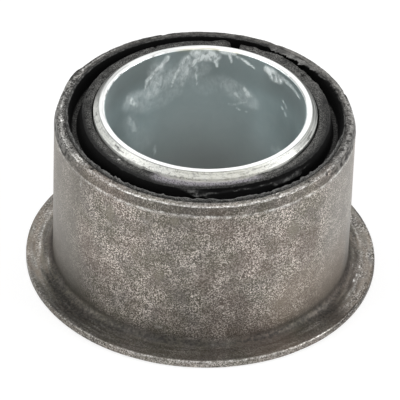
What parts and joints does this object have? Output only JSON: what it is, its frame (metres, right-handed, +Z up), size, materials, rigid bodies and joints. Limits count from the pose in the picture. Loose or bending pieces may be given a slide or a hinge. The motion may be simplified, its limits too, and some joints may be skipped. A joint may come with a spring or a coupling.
{
  "type": "axle beam bushing",
  "caption": "Flanged rubber-metal bushing for an axle beam: drawn steel shell with a flange, bonded rubber ring with grooved ends, and a steel sleeve whose bore takes the pivot bolt.",
  "frame": {"origin": "on the bore's axis, in the plane of the flange's underside", "axes": "+Z up along the bore's axis, from the flange towards the end with the lead-in"},
  "size_m": [0.085, 0.085, 0.0453],
  "materials": {
    "shell_steel": "mottled grey phosphate, worn bright at the rim and the flange's edge",
    "rubber": "matt black moulded rubber with fine grey dust",
    "sleeve_steel": "smooth bright steel with dried grease smears in the bore"
  },
  "bodies": {
    "root": {"outer_shell": "shell_steel", "rubber_ring": "rubber", "inner_sleeve": "sleeve_steel"}
  },
  "joints": []
}
